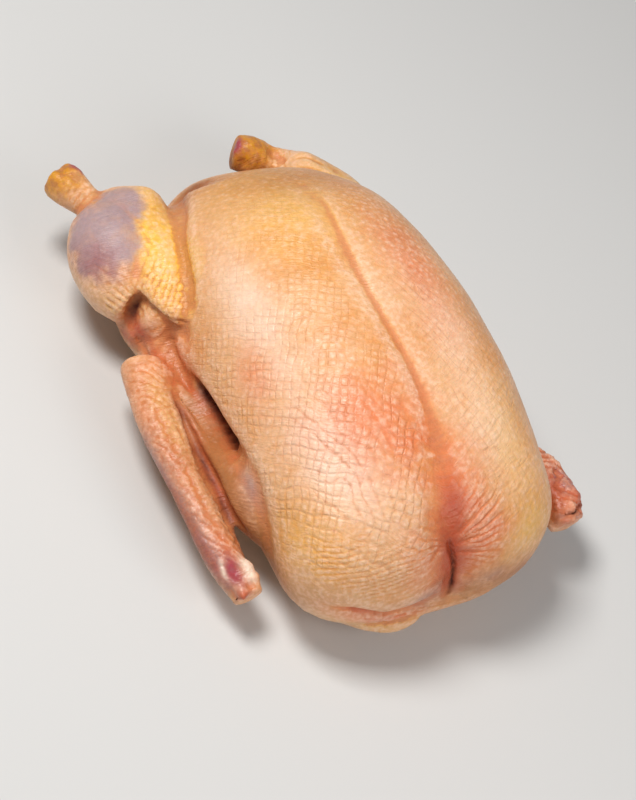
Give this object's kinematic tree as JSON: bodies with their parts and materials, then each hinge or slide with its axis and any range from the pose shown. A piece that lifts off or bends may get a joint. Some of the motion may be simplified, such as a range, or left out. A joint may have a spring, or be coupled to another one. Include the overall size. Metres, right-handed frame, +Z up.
{
  "type": "whole raw goose",
  "caption": "Plucked, drawn goose lying breast up on a flat back: long plump trunk with a keel groove, legs with cut hocks, folded wings cut at the wrist and tucked neck skin.",
  "frame": {"origin": "on the flat patch of the back that the bird rests on, midway between the wings", "axes": "+Z up through the breast, +Y from the neck to the tail, -X towards the bird's own left side"},
  "size_m": [0.2754, 0.3733, 0.1551],
  "materials": {
    "raw_skin": "satin"
  },
  "bodies": {
    "root": {"goose": "raw_skin"}
  },
  "joints": []
}
